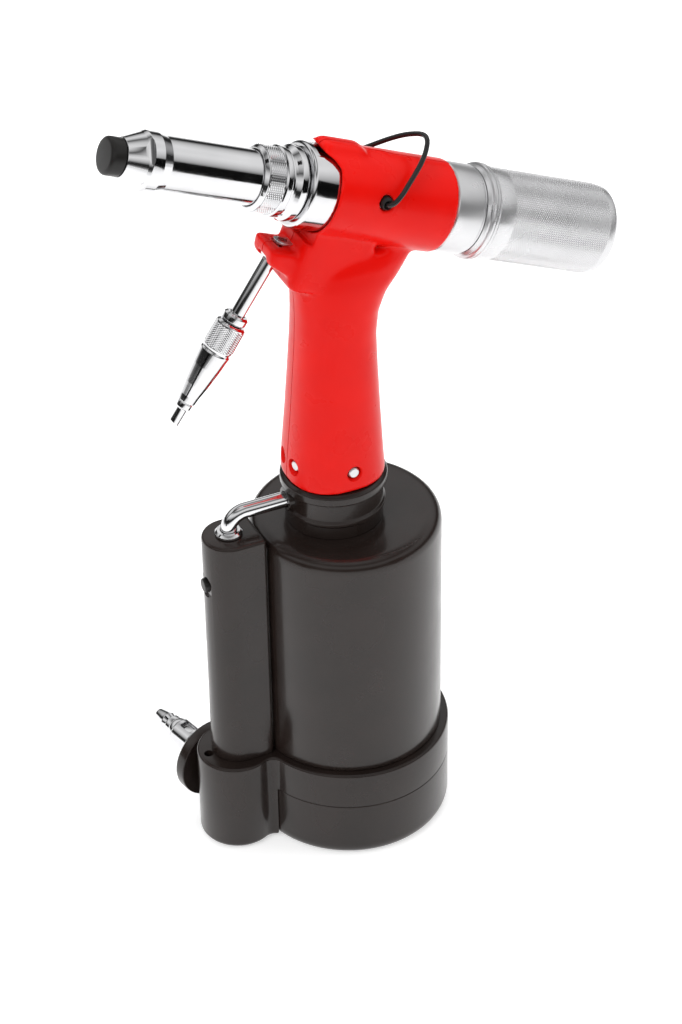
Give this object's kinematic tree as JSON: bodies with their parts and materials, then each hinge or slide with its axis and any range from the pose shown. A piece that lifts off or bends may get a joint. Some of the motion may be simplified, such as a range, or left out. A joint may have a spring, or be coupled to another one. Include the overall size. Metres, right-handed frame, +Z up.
{
  "type": "air_hydraulic_blind_riveter",
  "caption": "Air-hydraulic blind riveter: black air cylinder base with side valve, red pistol handle, hanging trigger lever, chrome head with nose housing and knurled mandrel collector",
  "frame": {"origin": "centre of the base's underside, on the surface that it stands on", "axes": "+Z up; the nose points to -X and up, the mandrel collector to +X; the side with the front handle shell seen by a left-side viewer faces -Y"},
  "size_m": [0.2327, 0.1065, 0.3798],
  "materials": {
    "casting": "gloss",
    "red_plastic": "gloss",
    "chrome": "polished",
    "steel": "satin",
    "satin_aluminium": "satin",
    "rubber": "matte",
    "black_wire": "gloss"
  },
  "bodies": {
    "tool_body": {"bottom_cap": "casting", "cap_seal": "rubber", "base_housing": "casting", "air_cylinder": "casting", "valve_spring": "steel", "valve_plug": "steel", "inlet_flange": "casting", "piston_spring": "steel", "neck_housing": "casting", "ram_seal": "rubber", "hydraulic_tube": "steel", "transfer_tube": "chrome", "tube_ferrule": "chrome", "shell_screw_1": "steel", "shell_screw_2": "steel", "shell_screw_3": "steel", "shell_screw_4": "steel", "handle_shell_right": "red_plastic", "handle_shell_left": "red_plastic", "trigger_pin": "steel", "trigger_plate": "steel", "bail_grommet_right": "rubber", "bail_grommet_left": "rubber", "head_cylinder": "chrome", "nose_housing": "chrome", "lock_nut": "chrome", "nosepiece": "steel", "head_spring": "steel", "rear_gland": "satin_aluminium", "gland_seal": "rubber", "collector_ring": "chrome"},
    "nose_cap_body": {"nose_cap": "rubber"},
    "ram": {"air_piston": "satin_aluminium", "air_piston_seal": "rubber", "ram_rod": "steel"},
    "draw_rod": {"draw_piston": "steel", "draw_piston_seal": "rubber", "mandrel_tube": "steel", "jaw_case": "steel", "jaw_1": "steel", "jaw_2": "steel", "jaw_3": "steel", "jaw_pusher": "steel", "jaw_spring": "steel"},
    "collector": {"mandrel_collector": "satin_aluminium"},
    "spool": {"valve_spool": "steel"},
    "trigger": {"trigger_rod": "chrome", "trigger_collar": "chrome", "trigger_grip": "chrome", "trigger_tip": "chrome"},
    "pilot": {"pilot_pin": "steel"},
    "bail": {"bail_wire": "black_wire"},
    "button": {"side_button": "rubber"},
    "inlet_plug": {"inlet_swivel": "chrome", "inlet_nipple": "chrome"}
  },
  "joints": [
    {"name": "nose_cap_slide", "type": "slide", "parent": "tool_body", "child": "nose_cap_body", "axis": [-0.9242, 0, 0.3819], "range_m": [0, 0.03]},
    {"name": "ram_slide", "type": "slide", "parent": "tool_body", "child": "ram", "axis": [0, 0, 1], "range_m": [0, 0.072], "stiffness_N_per_m": 300, "springref_m": -0.02, "deforming": ["piston_spring"]},
    {"name": "draw_slide", "type": "slide", "parent": "tool_body", "child": "draw_rod", "axis": [0.9242, 0, -0.3819], "range_m": [0, 0.018], "deforming": ["head_spring"]},
    {"name": "collector_slide", "type": "slide", "parent": "tool_body", "child": "collector", "axis": [0.9242, 0, -0.3819], "range_m": [0, 0.035]},
    {"name": "trigger_hinge", "type": "hinge", "parent": "tool_body", "child": "trigger", "pos_m": [-0.031, 0, 0.3088], "axis": [0, -1, 0], "range_deg": [0, 12], "stiffness_Nm_per_rad": 0.3, "springref_deg": -20.05},
    {"name": "pilot_slide", "type": "slide", "parent": "tool_body", "child": "pilot", "axis": [1, 0, 0], "range_m": [0, 0.0025]},
    {"name": "spool_slide", "type": "slide", "parent": "tool_body", "child": "spool", "axis": [0, 0, -1], "range_m": [0, 0.005], "deforming": ["valve_spring"]},
    {"name": "bail_hinge", "type": "hinge", "parent": "tool_body", "child": "bail", "pos_m": [0.01245, 0, 0.33138], "axis": [0, -1, 0], "range_deg": [-17, 50]},
    {"name": "button_slide", "type": "slide", "parent": "tool_body", "child": "button", "axis": [1, 0, 0], "range_m": [0, 0.002], "stiffness_N_per_m": 200, "springref_m": -0.004},
    {"name": "inlet_swivel_hinge", "type": "hinge", "parent": "tool_body", "child": "inlet_plug", "pos_m": [-0.0578, 0, 0.0293], "axis": [-0.2588, 0.9659, 0], "continuous": true}
  ],
  "couplings": [
    {"joint": "draw_slide", "follows": "ram_slide", "ratio": 0.25},
    {"joint": "pilot_slide", "follows": "trigger_hinge", "m_per_rad": 0.011459},
    {"joint": "spool_slide", "follows": "trigger_hinge", "m_per_rad": 0.023635}
  ]
}
